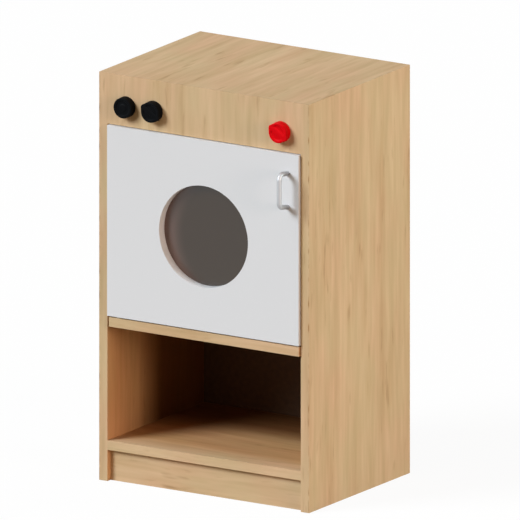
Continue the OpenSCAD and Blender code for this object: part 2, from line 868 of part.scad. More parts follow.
module spindle_bush_left() { spindle_bush(knob_left_x); }
module spindle_bush_middle() { spindle_bush(knob_middle_x); }
module spindle_bush_right() { spindle_bush(knob_right_x); }
module spindle_left() { spindle(knob_left_x); }
module spindle_middle() { spindle(knob_middle_x); }
module spindle_right() { spindle(knob_right_x); }
module spindle_washer_left() { spindle_washer(knob_left_x); }
module spindle_washer_middle() { spindle_washer(knob_middle_x); }
module spindle_washer_right() { spindle_washer(knob_right_x); }
module spindle_nut_left() { spindle_nut(knob_left_x); }
module spindle_nut_middle() { spindle_nut(knob_middle_x); }
module spindle_nut_right() { spindle_nut(knob_right_x); }

side_panel_left();
side_panel_right();
top_panel();
fascia_panel();
middle_shelf();
bottom_panel();
plinth_board();
back_panel();
back_panel_screws();
shelf_dowels();
fascia_dowels();
plinth_dowels();
cam_bolts();
cam_housings();
pivot_pin_lower();
pivot_pin_upper();
pivot_washer();
catch_housing();
catch_magnet();
catch_pole_plates();
catch_screws();
door_panel();
window_pane();
window_screws();
door_handle();
handle_screws();
pivot_bush_lower();
pivot_bush_upper();
strike_plate();
strike_screw();
spindle_bush_left();
spindle_bush_middle();
spindle_bush_right();
knob_left();
knob_middle();
knob_right();
spindle_left();
spindle_middle();
spindle_right();
spindle_washer_left();
spindle_washer_middle();
spindle_washer_right();
spindle_nut_left();
spindle_nut_middle();
spindle_nut_right();
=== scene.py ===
import math

import bmesh
import bpy
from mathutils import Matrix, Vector


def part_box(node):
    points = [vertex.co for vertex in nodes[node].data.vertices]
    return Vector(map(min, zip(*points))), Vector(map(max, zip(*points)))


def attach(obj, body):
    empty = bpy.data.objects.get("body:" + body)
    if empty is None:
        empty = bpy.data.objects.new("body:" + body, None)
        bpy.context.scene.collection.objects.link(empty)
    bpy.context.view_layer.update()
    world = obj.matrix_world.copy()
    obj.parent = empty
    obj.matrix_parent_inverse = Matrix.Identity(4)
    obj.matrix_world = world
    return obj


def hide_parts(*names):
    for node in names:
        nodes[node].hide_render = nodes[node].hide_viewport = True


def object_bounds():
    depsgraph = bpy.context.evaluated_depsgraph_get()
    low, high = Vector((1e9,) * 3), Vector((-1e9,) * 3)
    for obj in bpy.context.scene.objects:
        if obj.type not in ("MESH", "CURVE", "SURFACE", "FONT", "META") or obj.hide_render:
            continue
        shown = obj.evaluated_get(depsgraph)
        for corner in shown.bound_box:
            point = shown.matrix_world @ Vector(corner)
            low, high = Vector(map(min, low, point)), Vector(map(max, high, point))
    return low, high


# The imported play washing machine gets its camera, lights, materials, bow handle and knobs
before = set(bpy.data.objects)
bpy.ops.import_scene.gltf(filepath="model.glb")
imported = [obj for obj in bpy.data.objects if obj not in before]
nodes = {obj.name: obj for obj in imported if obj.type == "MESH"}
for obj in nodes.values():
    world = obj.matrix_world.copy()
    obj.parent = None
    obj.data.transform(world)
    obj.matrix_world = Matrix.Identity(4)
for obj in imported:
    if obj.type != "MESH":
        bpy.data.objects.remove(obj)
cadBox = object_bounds()
scene = bpy.context.scene
mm = 0.001
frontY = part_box("side_panel_left")[0][1]      # the plane of the boards' front edges
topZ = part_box("side_panel_left")[1][2]        # the height of the top face
innerX = -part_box("side_panel_left")[1][0]     # half the width between the two sides
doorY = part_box("door_panel")[0][1]            # the door's face
print("cabinet frame loaded,", len(nodes), "pieces")


# Camera
cameraSettings = {
    "azimuth": 32.31,         # degrees round from the front, towards the right
    "elevation": 14.63,       # degrees above the horizon
    "span": 963.66 * mm,      # what the square picture spans; parallel edges stay parallel in it
    "aimRight": 103.61 * mm,  # the picture's middle, from the foot of the front's middle line
    "aimUp": 438.32 * mm,
    "distance": 3000 * mm,
}


def placeCamera(s):
    turn = math.radians(s["azimuth"])
    tilt = math.radians(s["elevation"])
    right = Vector((math.cos(turn), math.sin(turn), 0))
    back = Vector((math.sin(turn) * math.cos(tilt), -math.cos(turn) * math.cos(tilt), math.sin(tilt)))
    up = back.cross(right)
    foot = Vector((0, frontY, 0))
    lens = bpy.data.cameras.new("cabinetCamera")
    lens.type = "ORTHO"
    lens.ortho_scale = s["span"]
    cameraObject = bpy.data.objects.new("cabinetCamera", lens)
    cameraObject.location = foot + right * s["aimRight"] + up * s["aimUp"] + back * s["distance"]
    cameraObject.rotation_mode = "QUATERNION"
    cameraObject.rotation_quaternion = back.to_track_quat("Z", "Y")
    scene.collection.objects.link(cameraObject)
    scene.camera = cameraObject


placeCamera(cameraSettings)
scene.view_settings.view_transform = "Standard"
print("camera placed")


# Small helpers for colours, shader nodes and materials
noiseRange = {"From Min": 0.3, "From Max": 0.7}     # where nearly all of a noise texture's values lie
reliefStrength = 0.5    # of every bump node, while its distance sets how deep the relief is
levelFrom = 0.7         # a face lies level where the upright part of its normal is over this
facingFrom = 0.5        # a face looks to the front or rear where that part of its normal is over this


def linearColour(hexText):
    channels = [int(hexText[i:i + 2], 16) / 255 for i in (1, 3, 5)]
    return [c / 12.92 if c <= 0.04045 else ((c + 0.055) / 1.055) ** 2.4 for c in channels] + [1]


def addNode(tree, kind, settings=None, links=None):
    node = tree.nodes.new(kind)
    for name, value in (settings or {}).items():
        if isinstance(name, str) and hasattr(node, name):
            setattr(node, name, value)
        else:
            node.inputs[name].default_value = value
    for name, source in (links or {}).items():
        tree.links.new(source, node.inputs[name])
    return node


def limitedTo(tree, share, masks):
    # A share that stays only where every mask is 1
    for mask in masks:
        share = addNode(tree, "ShaderNodeMath", {"operation": "MULTIPLY"},
                        {0: share.outputs[0], 1: mask.outputs[0]})
    return share


def newMaterial(name):
    material = bpy.data.materials.new(name)
    material.use_nodes = True
    material.node_tree.nodes.clear()
    return material, material.node_tree


def finishMaterial(tree, shader):
    addNode(tree, "ShaderNodeOutputMaterial", links={"Surface": shader.outputs[0]})


def dress(material, names):
    for name in names:
        slots = nodes[name].data.materials
        slots.clear()
        slots.append(material)


# Light: a softbox at the upper left, a lamp overhead, a warm bounce from the right front that
# reaches into the compartment, a cool rim from the right back, and a weak fill behind
lampSettings = {
    "key": {"towards": (-0.5245, -0.690, 0.520), "strength": 3.72, "spread": 28, "colour": "#ebf6ff"},
    "overhead": {"towards": (-0.10, -0.12, 1.0), "strength": 0.40, "spread": 40, "colour": "#ffffff"},
    "warmBounce": {"towards": (1.0, -0.24, 0.20), "strength": 1.55, "spread": 22, "colour": "#f8e0d0"},
    "coolRim": {"towards": (0.80, 0.60, 0.12), "strength": 1.52, "spread": 20, "colour": "#d5eef0"},
    "backFill": {"towards": (0.20, 0.98, 0.05), "strength": 1.4, "spread": 10, "colour": "#ffffff"},
}
worldSettings = {"colour": "#ffce95", "strength": 0.11}


def placeSun(name, s):
    lamp = bpy.data.lights.new(name, "SUN")
    lamp.energy = s["strength"]
    lamp.angle = math.radians(s["spread"])
    lamp.color = linearColour(s["colour"])[:3]
    lampObject = bpy.data.objects.new(name, lamp)
    lampObject.rotation_mode = "QUATERNION"
    lampObject.rotation_quaternion = Vector(s["towards"]).to_track_quat("Z", "Y")
    scene.collection.objects.link(lampObject)


def seenRays(tree):
    # 1 for rays from the camera and for those that shine off or pass through the object
    path = addNode(tree, "ShaderNodeLightPath")
    shown = addNode(tree, "ShaderNodeMath", {"operation": "MAXIMUM"},
                    {0: path.outputs["Is Camera Ray"], 1: path.outputs["Is Glossy Ray"]})
    shown = addNode(tree, "ShaderNodeMath", {"operation": "MAXIMUM"},
                    {0: shown.outputs[0], 1: path.outputs["Is Transmission Ray"]})
    return shown.outputs[0]


def paintWorld(s):
    world = bpy.data.worlds.new("studio")
    scene.world = world
    world.use_nodes = True
    tree = world.node_tree
    tree.nodes.clear()
    ambient = addNode(tree, "ShaderNodeBackground",
                      {"Color": linearColour(s["colour"]), "Strength": s["strength"]})
    white = addNode(tree, "ShaderNodeBackground", {"Color": (1, 1, 1, 1), "Strength": 1.0})
    mixed = addNode(tree, "ShaderNodeMixShader",
                    links={0: seenRays(tree), 1: ambient.outputs[0], 2: white.outputs[0]})
    addNode(tree, "ShaderNodeOutputWorld", links={"Surface": mixed.outputs[0]})


for lampName, lampLook in lampSettings.items():
    placeSun(lampName, lampLook)
paintWorld(worldSettings)
print("lights placed")


# Floor: seen as white with a trace of the cabinet's shadow, while a warm grey bounces light up
floorSettings = {
    "half": 12.0,           # metres from its middle to each side
    "bounce": "#94836c",
    "shown": "#ffffff",
    "shadowShare": 0.06,    # how much of what is seen takes shadows
}


def layFloor(s):
    mesh = bpy.data.meshes.new("floor")
    h = s["half"]
    mesh.from_pydata([(-h, -h, 0), (h, -h, 0), (h, h, 0), (-h, h, 0)], [], [(0, 1, 2, 3)])
    floor = bpy.data.objects.new("floor", mesh)
    scene.collection.objects.link(floor)
    material, tree = newMaterial("paleStudioFloor")
    bounce = addNode(tree, "ShaderNodeBsdfDiffuse", {"Color": linearColour(s["bounce"])})
    glow = addNode(tree, "ShaderNodeEmission", {"Color": linearColour(s["shown"]), "Strength": 1.0})
    paint = addNode(tree, "ShaderNodeBsdfDiffuse", {"Color": linearColour(s["shown"])})
    seen = addNode(tree, "ShaderNodeMixShader", {0: s["shadowShare"]},
                   {1: glow.outputs[0], 2: paint.outputs[0]})
    finishMaterial(tree, addNode(tree, "ShaderNodeMixShader", links={
        0: seenRays(tree), 1: bounce.outputs[0], 2: seen.outputs[0]}))
    mesh.materials.append(material)


layFloor(floorSettings)
print("floor laid")


# Printed oak melamine: chipboard faced with a resin-soaked paper that is printed with light oak and
# pressed against a finely grained plate. The eye gets long soft streaks in two close tones, darker
# veins, a few short flecks, and a low even sheen that the pressed grain breaks up a little.
# The faces inside the compartments carry painted warm bounce light and painted shade towards the back.
oakSettings = {
    "pinkerTone": "#cdaa85",
    "yellowerTone": "#c9af87",
    "hue": {"width": 70 * mm, "stretch": 2.5, "detail": 2.0},
    "hueRange": {"From Min": 0.32, "From Max": 0.68},
    "light": [      # the layers that lighten and darken the wood, the widest bands first
        {"width": 75 * mm, "stretch": 8, "detail": 2.0, "depth": 0.055},
        {"width": 24 * mm, "stretch": 11, "detail": 3.0, "depth": 0.085},
        {"width": 9 * mm, "stretch": 13, "detail": 2.0, "depth": 0.056},   # fibres, drawn over real size
    ],
    "spread": (0.88, 1.0, 1.35),    # how much of that red, green and blue take, so dark turns browner
    "vein": {"width": 30 * mm, "stretch": 11, "detail": 3.0},
    "veinMarks": {"tone": "#ab8350", "least": 0.54, "most": 0.80, "share": 0.40},
    "fleck": {"width": 9 * mm, "stretch": 6, "detail": 1.0},
    "fleckMarks": {"tone": "#8a6335", "least": 0.60, "most": 0.74, "share": 0.45},
    "clustering": 0.45,         # how far the flecks keep to the veins
    "swayWidth": 110 * mm,
    "swayStretch": 0.35,        # how fast the sway changes along the grain, against across it
    "sway": 12 * mm,            # how far the grain wanders sideways
    "arrisTone": "#a07a4e",
    "arris": 2.2 * mm,          # the dark dashed line at the arris is 0.5 mm wide, drawn wider so that it shows
    "arrisDepth": 0.73 * mm,    # and this far round the corner on the outer side
    "dashLength": 26 * mm,
    "dashes": {"From Min": 0.48, "From Max": 0.80, "To Max": 0.8},
    "insideTone": "#f4ddc6",    # painted warm bounce light, which makes the compartments' faces warmer
    "insideFrom": 8 * mm,       # behind the front edges, fading in
    "insideTo": 60 * mm,
    "deepTone": "#a29080",      # and painted shade, darker towards the back
    "deepFrom": 150 * mm,
    "deepTo": 240 * mm,
    "wallLead": 50 * mm,        # how much nearer to the front all this starts on the upright walls
    "insideMargin": 1 * mm,     # how far past the inner faces it still holds
    "roughness": 0.62,
    "shine": 0.08,
    "grainHeight": 0.05 * mm,   # of the pressed grain
}


def grainLayer(tree, point, s):
    # A noise drawn out along the third axis, which is the board's length
    drawn = addNode(tree, "ShaderNodeVectorMath", {
        "operation": "MULTIPLY", 1: (1, 1, 1 / s["stretch"])}, {0: point})
    noise = addNode(tree, "ShaderNodeTexNoise", {"Scale": 1 / s["width"], "Detail": s["detail"]},
                    {"Vector": drawn.outputs[0]})
    return noise.outputs[0]


def lightenedBy(tree, layer, depth, spread, colour):
    level = addNode(tree, "ShaderNodeMapRange", {
        **noiseRange, "To Min": -depth, "To Max": depth}, {"Value": layer})
    factor = addNode(tree, "ShaderNodeVectorMath", {
        "operation": "MULTIPLY_ADD", 1: spread, 2: (1, 1, 1)}, {0: level.outputs[0]})
    return addNode(tree, "ShaderNodeVectorMath", {"operation": "MULTIPLY"},
                   {0: colour, 1: factor.outputs[0]}).outputs[0]


def markedBy(tree, layer, s, colour):
    share = addNode(tree, "ShaderNodeMapRange", {
        "From Min": s["least"], "From Max": s["most"], "To Max": s["share"]}, {"Value": layer})
    return addNode(tree, "ShaderNodeMix", {"data_type": "RGBA", 7: linearColour(s["tone"])},
                   {0: share.outputs[0], 6: colour}).outputs[2]


def uprightGrain(tree, place):
    # Upwards on the upright faces, and straight on towards the back where a face lies level
    axes = addNode(tree, "ShaderNodeSeparateXYZ", links={0: place.outputs["Object"]})
    onwards = addNode(tree, "ShaderNodeMath", {"operation": "ADD", 1: topZ - frontY},
                      {0: axes.outputs[1]})
    level = addNode(tree, "ShaderNodeCombineXYZ", {1: frontY},
                    {0: axes.outputs[0], 2: onwards.outputs[0]})
    facing = addNode(tree, "ShaderNodeSeparateXYZ", links={0: place.outputs["Normal"]})
    flatness = addNode(tree, "ShaderNodeMath", {"operation": "ABSOLUTE"}, {0: facing.outputs[2]})
    isLevel = addNode(tree, "ShaderNodeMath", {"operation": "GREATER_THAN", 1: levelFrom},
                      {0: flatness.outputs[0]})
    return addNode(tree, "ShaderNodeMix", {"data_type": "VECTOR"}, {
        0: isLevel.outputs[0], 4: place.outputs["Object"], 5: level.outputs[0]}).outputs[1]


def crosswiseGrain(tree, place):
    # From side to side, as on the shelf, the bottom and the plinth
    axes = addNode(tree, "ShaderNodeSeparateXYZ", links={0: place.outputs["Object"]})
    return addNode(tree, "ShaderNodeCombineXYZ", links={
        0: axes.outputs[1], 1: axes.outputs[2], 2: axes.outputs[0]}).outputs[0]


def darkArrisDashes(tree, place, s, colour):
    # Dark dashes along the cabinet's outer upright arrises at the front
    axes = addNode(tree, "ShaderNodeSeparateXYZ", links={0: place.outputs["Object"]})
    outwards = addNode(tree, "ShaderNodeMath", {"operation": "ABSOLUTE"}, {0: axes.outputs[0]})
    atSide = addNode(tree, "ShaderNodeMath", {
        "operation": "GREATER_THAN", 1: cadBox[1][0] - s["arris"]}, {0: outwards.outputs[0]})
    atFront = addNode(tree, "ShaderNodeMath", {
        "operation": "LESS_THAN", 1: frontY + s["arrisDepth"]}, {0: axes.outputs[1]})
    noise = addNode(tree, "ShaderNodeTexNoise", {
        "noise_dimensions": "1D", "Scale": 1 / s["dashLength"], "Detail": 1.0}, {"W": axes.outputs[2]})
    dashes = addNode(tree, "ShaderNodeMapRange", s["dashes"], {"Value": noise.outputs[0]})
    share = limitedTo(tree, dashes, (atSide, atFront))
    return addNode(tree, "ShaderNodeMix", {"data_type": "RGBA", 7: linearColour(s["arrisTone"])},
                   {0: share.outputs[0], 6: colour}).outputs[2]


def paintedInsideLightAndShade(tree, place, s, colour):
    # Painted light and shade on the faces inside the compartments, in two stages from the front edges to
    # the back: painted warm bounce light, then painted shade deeper in
    axes = addNode(tree, "ShaderNodeSeparateXYZ", links={0: place.outputs["Object"]})
    outwards = addNode(tree, "ShaderNodeMath", {"operation": "ABSOLUTE"}, {0: axes.outputs[0]})
    within = addNode(tree, "ShaderNodeMath", {
        "operation": "LESS_THAN", 1: innerX + s["insideMargin"]}, {0: outwards.outputs[0]})
    below = addNode(tree, "ShaderNodeMath", {
        "operation": "LESS_THAN", 1: topZ - s["insideMargin"]}, {0: axes.outputs[2]})
    facing = addNode(tree, "ShaderNodeSeparateXYZ", links={0: place.outputs["Normal"]})
    ahead = addNode(tree, "ShaderNodeMath", {"operation": "LESS_THAN", 1: facingFrom},
                    {0: facing.outputs[1]})
    sideways = addNode(tree, "ShaderNodeMath", {"operation": "ABSOLUTE"}, {0: facing.outputs[0]})
    depth = addNode(tree, "ShaderNodeMath", {"operation": "MULTIPLY_ADD", 1: s["wallLead"]},
                    {0: sideways.outputs[0], 2: axes.outputs[1]})
    # painted warm bounce light first, then painted shade towards the back
    for stage in ("inside", "deep"):
        share = addNode(tree, "ShaderNodeMapRange", {
            "From Min": frontY + s[stage + "From"], "From Max": frontY + s[stage + "To"]},
            {"Value": depth.outputs[0]})
        share = limitedTo(tree, share, (within, below, ahead))
        tone = addNode(tree, "ShaderNodeMix", {
            "data_type": "RGBA", 6: (1, 1, 1, 1), 7: linearColour(s[stage + "Tone"])},
            {0: share.outputs[0]})
        colour = addNode(tree, "ShaderNodeVectorMath", {"operation": "MULTIPLY"},
                         {0: colour, 1: tone.outputs[2]}).outputs[0]
    return colour


def oakBoard(name, s, grainPoint):
    material, tree = newMaterial(name)
    place = addNode(tree, "ShaderNodeTexCoord")
    point = grainPoint(tree, place)
    slow = addNode(tree, "ShaderNodeVectorMath", {
        "operation": "MULTIPLY", 1: (1, 1, s["swayStretch"])}, {0: point})
    sway = addNode(tree, "ShaderNodeTexNoise", {"Scale": 1 / s["swayWidth"], "Detail": 1.0},
                   {"Vector": slow.outputs[0]})
    swayed = addNode(tree, "ShaderNodeVectorMath", {
        "operation": "MULTIPLY_ADD", 1: (s["sway"], s["sway"], 0)},
        {0: sway.outputs["Color"], 2: point}).outputs[0]
    hueShare = addNode(tree, "ShaderNodeMapRange", s["hueRange"],
                       {"Value": grainLayer(tree, swayed, s["hue"])})
    colour = addNode(tree, "ShaderNodeMix", {
        "data_type": "RGBA", 6: linearColour(s["pinkerTone"]), 7: linearColour(s["yellowerTone"])},
        {0: hueShare.outputs[0]}).outputs[2]
    for layer in s["light"]:
        grain = grainLayer(tree, swayed, layer)
        colour = lightenedBy(tree, grain, layer["depth"], s["spread"], colour)
    veins = grainLayer(tree, swayed, s["vein"])
    colour = markedBy(tree, veins, s["veinMarks"], colour)
    flecks = addNode(tree, "ShaderNodeMix", {0: s["clustering"]},
                     {2: grainLayer(tree, swayed, s["fleck"]), 3: veins})
    colour = markedBy(tree, flecks.outputs[0], s["fleckMarks"], colour)
    colour = paintedInsideLightAndShade(tree, place, s, colour)
    colour = darkArrisDashes(tree, place, s, colour)
    bump = addNode(tree, "ShaderNodeBump", {"Strength": reliefStrength, "Distance": s["grainHeight"]},
                   {"Height": grain})      # the finest layer, which the loop makes last
    board = addNode(tree, "ShaderNodeBsdfPrincipled", {
        "Roughness": s["roughness"], "Specular IOR Level": s["shine"]},
        {"Base Color": colour, "Normal": bump.outputs[0]})
    finishMaterial(tree, board)
    return material


uprightBoards = ["side_panel_left", "side_panel_right", "fascia_panel", "top_panel"]
levelBoards = ["middle_shelf", "bottom_panel", "plinth_board"]
dress(oakBoard("printedOakUpright", oakSettings, uprightGrain), uprightBoards)
dress(oakBoard("printedOakCrosswise", oakSettings, crosswiseGrain), levelBoards)
print("oak boards dressed")


# The sawn and banded edges of boards and door are broken by a fine file, and catch a thin light
edgeSettings = {
    "width": 0.5 * mm,
    "segments": 2,
    "sharperThan": 40,          # degrees between the two faces
    "joinWithin": 0.001 * mm,   # closes the mesh's seams first
}


def softenEdges(names, s):
    for name in names:
        seams = nodes[name].modifiers.new("joinedSeams", "WELD")
        seams.merge_threshold = s["joinWithin"]
        edges = nodes[name].modifiers.new("brokenEdges", "BEVEL")
        edges.width = s["width"]
        edges.segments = s["segments"]
        edges.limit_method = "ANGLE"
        edges.angle_limit = math.radians(s["sharperThan"])
        edges.harden_normals = True


softenEdges(uprightBoards + levelBoards + ["door_panel"], edgeSettings)
print("edges softened")


# A skin of two close tones that follow one noise, which also sets its roughness and its relief
def grainedSkin(name, s):
    material, tree = newMaterial(name)
    place = addNode(tree, "ShaderNodeTexCoord")
    drawn = addNode(tree, "ShaderNodeVectorMath", {
        "operation": "MULTIPLY", 1: s.get("stretch", (1, 1, 1))}, {0: place.outputs["Object"]})
    grain = addNode(tree, "ShaderNodeTexNoise", {"Scale": 1 / s["grit"], "Detail": 3.0},
                    {"Vector": drawn.outputs[0]})
    share = addNode(tree, "ShaderNodeMapRange", noiseRange, {"Value": grain.outputs[0]})
    colour = addNode(tree, "ShaderNodeMix", {
        "data_type": "RGBA", 6: linearColour(s["tones"][0]), 7: linearColour(s["tones"][1])},
        {0: share.outputs[0]})
    rough = addNode(tree, "ShaderNodeMapRange", {
        **noiseRange, "To Min": s["rough"][0], "To Max": s["rough"][1]}, {"Value": grain.outputs[0]})
    bump = addNode(tree, "ShaderNodeBump", {"Strength": reliefStrength, "Distance": s["relief"]},
                   {"Height": grain.outputs[0]})
    skin = addNode(tree, "ShaderNodeBsdfPrincipled", {
        "Metallic": s.get("metallic", 0.0), "Specular IOR Level": s["shine"]},
        {"Base Color": colour.outputs[2], "Roughness": rough.outputs[0], "Normal": bump.outputs[0]})
    finishMaterial(tree, skin)
    return material


# White melamine: plain white paper pressed like the oak, on a plate with a fine leather grain. The
# eye gets an even white with a matt, slightly pebbled sheen. The real pebbles are 0.3 mm wide,
# drawn coarser so that they show.
whiteMelamine = grainedSkin("pressedWhiteMelamine", {
    "tones": ("#d7d7d8", "#dadadb"), "grit": 1.2 * mm, "rough": (0.42, 0.50), "relief": 0.01 * mm,
    "shine": 0.25})

# Black and red ABS: injection moulded in a spark-eroded mould, which leaves a fine even frost, so
# that light spreads softly over the rounded edges. The real frost is 0.1 mm wide, drawn coarser so
# that it shows.
blackAbs = grainedSkin("mouldedBlackAbs", {
    "tones": ("#07080a", "#0a0b0d"), "grit": 0.5 * mm, "rough": (0.45, 0.55), "relief": 0.01 * mm,
    "shine": 0.04})
redAbs = grainedSkin("mouldedRedAbs", {
    "tones": ("#d0000a", "#d6000d"), "grit": 0.5 * mm, "rough": (0.42, 0.50), "relief": 0.01 * mm,
    "shine": 0.08})

# Satin plated rod: bent steel, brushed lengthwise and plated, so it has hair lines along the bar
# and a wide soft shine in place of sharp highlights. The real lines are 0.1 mm wide, drawn coarser
# so that they show.
satinRod = grainedSkin("brushedSatinSteel", {
    "tones": ("#b0b0b2", "#bababc"), "grit": 0.6 * mm, "stretch": (1, 1, 0.06), "rough": (0.46, 0.54),
    "relief": 0.01 * mm, "metallic": 0.85, "shine": 0.4})

# Hardboard: steamed wood fibres pressed to a hard brown sheet, smooth, with darker fibre bundles.
# The real bundles are 0.5 mm wide, drawn coarser so that they don't shimmer from afar.
hardboard = grainedSkin("pressedHardboard", {
    "tones": ("#4b3523", "#573e2a"), "grit": 9 * mm, "rough": (0.5, 0.6), "relief": 0.02 * mm,
    "shine": 0.2})

# Beech dowels: turned and fluted, with the short dark rays of beech along the dowel.
beech = grainedSkin("turnedBeech", {
    "tones": ("#c49e6c", "#dcc098"), "grit": 1 * mm, "stretch": (0.15, 1, 1), "rough": (0.55, 0.65),
    "relief": 0.02 * mm, "shine": 0.3})

# Nylon bushes and washer: moulded, milky and waxy, with a faint cloudiness.
nylon = grainedSkin("mouldedNylon", {
    "tones": ("#e2ddd0", "#eae6dc"), "grit": 3 * mm, "rough": (0.40, 0.50), "relief": 0.01 * mm,
    "shine": 0.45})

# Catch housing: moulded plastic with the fine frost of its mould, drawn coarser than it is.
catchPlastic = grainedSkin("mouldedCatchPlastic", {
    "tones": ("#d2ccbd", "#dcd6c8"), "grit": 0.6 * mm, "rough": (0.45, 0.55), "relief": 0.01 * mm,
    "shine": 0.35})

# Ferrite: pressed powder, fired and ground, so it is dark, dull and finely granular. The real
# grains are far finer, and drawn coarser so that they show.
ferrite = grainedSkin("sinteredFerrite", {
    "tones": ("#2c2c2e", "#444447"), "grit": 0.8 * mm, "rough": (0.6, 0.75), "relief": 0.03 * mm,
    "shine": 0.4})

# Cam housings: die-cast zinc, left as cast, grey with flow marks.
castZinc = grainedSkin("dieCastZinc", {
    "tones": ("#97999c", "#b0b2b5"), "grit": 2 * mm, "rough": (0.42, 0.60), "relief": 0.02 * mm,
    "metallic": 1.0, "shine": 0.5})

# Screws, bolts, pins, spindles and plates: steel with a bright zinc plating, a little bluish and
# uneven, so their shine varies from spot to spot.
zincSteel = grainedSkin("zincPlatedSteel", {
    "tones": ("#b4b8be", "#c8c9c6"), "grit": 1.5 * mm, "rough": (0.28, 0.42), "relief": 0.01 * mm,
    "metallic": 1.0, "shine": 0.5})

dress(whiteMelamine, ["door_panel"])
dress(hardboard, ["back_panel"])
dress(beech, ["shelf_dowels", "fascia_dowels", "plinth_dowels"])
dress(nylon, [name for name in nodes if "bush" in name] + ["pivot_washer"])
dress(catchPlastic, ["catch_housing"])
dress(ferrite, ["catch_magnet"])
dress(castZinc, ["cam_housings"])
dress(zincSteel, ["cam_bolts", "catch_pole_plates", "strike_plate"])
dress(zincSteel, ["pivot_pin_lower", "pivot_pin_upper"])
dress(zincSteel, [name for name in nodes if "screw" in name])
dress(zincSteel, [name for name in nodes if name.startswith("spindle_") and "bush" not in name])
print("small pieces dressed")


# Smoked window: cast acrylic, dyed through and polished by its mould. The eye gets a dark brown
# sheet, greyed by the bright room it reflects, slightly wavy, with the inside only just seen.
# Its front face towards the hinges carries a painted warm light.
paneSettings = {
    "tint": "#2b1a02",
    "paintedWarmGlow": "#7f6056",      # painted warm light on the front face towards the hinges, lifting the shade next to the edge of the opening
    "warmMiddle": 60 * mm,      # this tint lies outside a ring about a point this far to the right
    "warmRing": 112 * mm,       # the ring's radius, from where it fades in to the pane's left end
    "open": 0.12,               # share of what is behind the pane that shows through
    "roughness": 0.28,
    "index": 1.49,
    "shine": 1.0,               # twice the usual, because both faces of the sheet shine
    "waveWidth": 70 * mm,
    "waveHeight": 0.02 * mm,
}


def smokedPane(s):
    material, tree = newMaterial("castSmokedAcrylic")
    place = addNode(tree, "ShaderNodeTexCoord")
    low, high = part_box("window_pane")
    middle = ((low[0] + high[0]) / 2 + s["warmMiddle"], low[1], (low[2] + high[2]) / 2)
    away = addNode(tree, "ShaderNodeVectorMath", {"operation": "DISTANCE", 1: middle},
                   {0: place.outputs["Object"]})
    # the ring of painted warm light towards the hinges, on the front face only
    warm = addNode(tree, "ShaderNodeMapRange", {
        "From Min": s["warmRing"], "From Max": middle[0] - low[0], "interpolation_type": "SMOOTHSTEP"},
        {"Value": away.outputs["Value"]})
    facing = addNode(tree, "ShaderNodeSeparateXYZ", links={0: place.outputs["Normal"]})
    ahead = addNode(tree, "ShaderNodeMath", {"operation": "LESS_THAN", 1: -facingFrom},
                    {0: facing.outputs[1]})
    share = limitedTo(tree, warm, [ahead])
    tint = addNode(tree, "ShaderNodeMix", {
        "data_type": "RGBA", 6: linearColour(s["tint"]), 7: linearColour(s["paintedWarmGlow"])},
        {0: share.outputs[0]})
    waves = addNode(tree, "ShaderNodeTexNoise", {"Scale": 1 / s["waveWidth"], "Detail": 1.0},
                    {"Vector": place.outputs["Object"]})
    bump = addNode(tree, "ShaderNodeBump", {"Strength": reliefStrength, "Distance": s["waveHeight"]},
                   {"Height": waves.outputs[0]})
    skin = addNode(tree, "ShaderNodeBsdfPrincipled", {
        "Roughness": s["roughness"], "IOR": s["index"], "Specular IOR Level": s["shine"],
        "Alpha": 1 - s["open"]}, {"Base Color": tint.outputs[2], "Normal": bump.outputs[0]})
    finishMaterial(tree, skin)
    return material


dress(smokedPane(paneSettings), ["window_pane"])
print("window dressed")


# Pieces that are skinned over rings of equally many points
def skinRings(name, rings):
    shape = bmesh.new()
    loops = [[shape.verts.new(point) for point in ring] for ring in rings]
    for near, far in zip(loops, loops[1:]):
        for i in range(len(near)):
            shape.faces.new((near[i - 1], near[i], far[i], far[i - 1])).smooth = True
    shape.faces.new(loops[0])
    shape.faces.new(loops[-1])
    bmesh.ops.recalc_face_normals(shape, faces=shape.faces)
    mesh = bpy.data.meshes.new(name)
    shape.to_mesh(mesh)
    shape.free()
    piece = bpy.data.objects.new(name, mesh)
    scene.collection.objects.link(piece)
    return piece


def standFor(piece, node, body, material):
    piece.data.materials.append(material)
    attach(piece, body)
    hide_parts(node)


# Bow handle: one rod bent twice, whose legs rise a little from the door to the bar
handleSettings = {
    "rod": 9 * mm,
    "bend": 11 * mm,        # radius on the centre line
    "spacing": 64 * mm,     # between the two screws
    "rise": 4.5 * mm,       # of the bar over the screws' middle
    "gripMid": 4 * mm,      # how far before the door the legs' centre lines cross the screws
    "bendSteps": 16,
    "roundSteps": 48,
}


def roundedCorner(before, corner, after, radius, steps):
    # Points of the arc that rounds the corner between two straight stretches
    inwards = (before - corner).normalized()
    outwards = (after - corner).normalized()
    half = inwards.angle(outwards) / 2
    centre = corner + (inwards + outwards).normalized() * radius / math.sin(half)
    start = corner + inwards * radius / math.tan(half) - centre
    end = corner + outwards * radius / math.tan(half) - centre
    return [centre + start.slerp(end, i / steps) * radius for i in range(steps + 1)]


def handleRoute(s, reach):
    # In the handle's upright plane: how far from the door, and how high over the screws' middle
    slope = s["rise"] / (reach - s["gripMid"])
    half = s["spacing"] / 2
    feet = [Vector((0, side * half - s["gripMid"] * slope)) for side in (1, -1)]
    corners = [Vector((reach, side * half + s["rise"])) for side in (1, -1)]
    upper = roundedCorner(feet[0], corners[0], corners[1], s["bend"], s["bendSteps"])
    lower = roundedCorner(corners[0], corners[1], feet[1], s["bend"], s["bendSteps"])
    return [feet[0], *upper, *lower, feet[1]]


